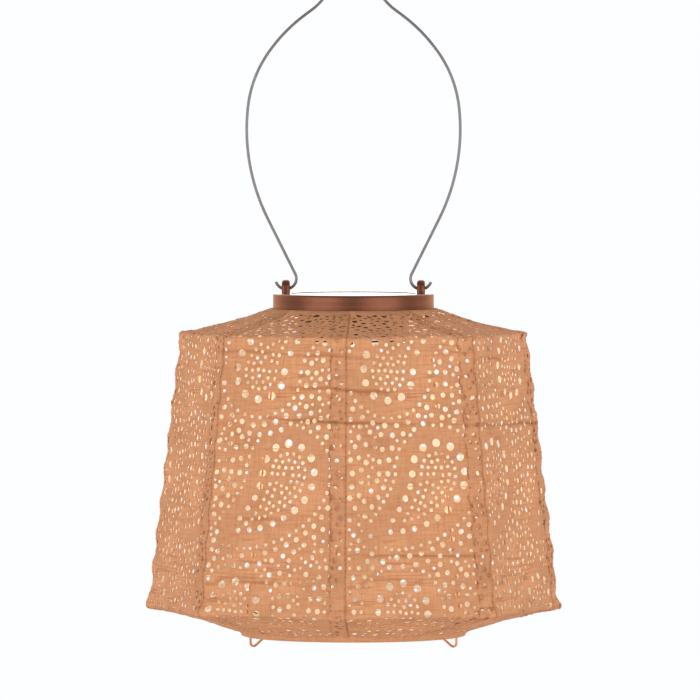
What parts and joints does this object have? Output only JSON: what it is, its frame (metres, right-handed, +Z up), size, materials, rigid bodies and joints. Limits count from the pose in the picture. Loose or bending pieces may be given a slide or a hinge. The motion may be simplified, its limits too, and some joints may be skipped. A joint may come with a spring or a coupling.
{
  "type": "solar lantern",
  "caption": "Hanging solar lantern with an eight-sided punched cloth shade on wire hoops, a round collar with the solar unit, and a swinging wire handle.",
  "frame": {"origin": "the point inside the top of the handle's arch where a hook carries the lantern", "axes": "+Z up along the lantern's axis, X along the handle's hinge line, -Y towards the front corner of the shade"},
  "size_m": [0.29, 0.29, 0.4918],
  "materials": {
    "handle_steel": "satin drawn wire",
    "collar_bronze": "copper metallic paint and clear coat on moulded plastic",
    "clamp_plastic": "moulded plastic",
    "shade_cloth": "punched terracotta cloth, plain weave",
    "hoop_wire": "spring wire with a cream coat",
    "expander_wire": "spring wire with a copper coat",
    "window_clear": "gloss",
    "cell_silicon": "dark blue silicon",
    "board_white": "white laminate",
    "case_plastic": "dark brown moulded plastic",
    "seal_rubber": "matte",
    "board_green": "solder mask",
    "lamp_clear": "clear epoxy lamp, lit warm",
    "lens_frosted": "frosted",
    "battery_sleeve": "shrink sleeve",
    "contact_nickel": "nickel plated",
    "screw_steel": "zinc plated",
    "lead_red": "insulated lead",
    "lead_black": "insulated lead",
    "switch_plastic": "moulded plastic"
  },
  "bodies": {
    "handle": {"handle_wire": "handle_steel"},
    "lantern": {"top_collar": "collar_bronze", "clamp_ring": "clamp_plastic", "clamp_screws": "screw_steel", "top_hoop": "hoop_wire", "bottom_hoop": "hoop_wire", "spiral_rib": "hoop_wire", "bottom_ring": "hoop_wire", "expander_frame": "expander_wire", "panel_window": "window_clear", "solar_cells": "cell_silicon", "panel_board": "board_white", "seal_ring": "seal_rubber", "unit_case": "case_plastic", "case_screws": "screw_steel", "battery": "battery_sleeve", "contact_plus": "contact_nickel", "contact_minus": "contact_nickel", "battery_spring": "contact_nickel", "battery_cover": "case_plastic", "cover_screw": "screw_steel", "circuit_board": "board_green", "led": "lamp_clear", "led_lens": "lens_frosted", "panel_lead_red": "lead_red", "panel_lead_black": "lead_black", "switch_body": "switch_plastic", "shade_gore_1": "shade_cloth", "shade_gore_2": "shade_cloth", "shade_gore_3": "shade_cloth", "shade_gore_4": "shade_cloth", "shade_gore_5": "shade_cloth", "shade_gore_6": "shade_cloth", "shade_gore_7": "shade_cloth", "shade_gore_8": "shade_cloth"},
    "switch": {"switch_knob": "switch_plastic"}
  },
  "joints": [
    {"name": "handle_swing", "type": "hinge", "parent": "handle", "child": "lantern", "pos_m": [0, 0, -0.2395], "axis": [1, 0, 0], "range_deg": [-90, 90]},
    {"name": "switch_slide", "type": "slide", "parent": "lantern", "child": "switch", "axis": [1, 0, 0], "range_m": [0, 0.003]}
  ]
}
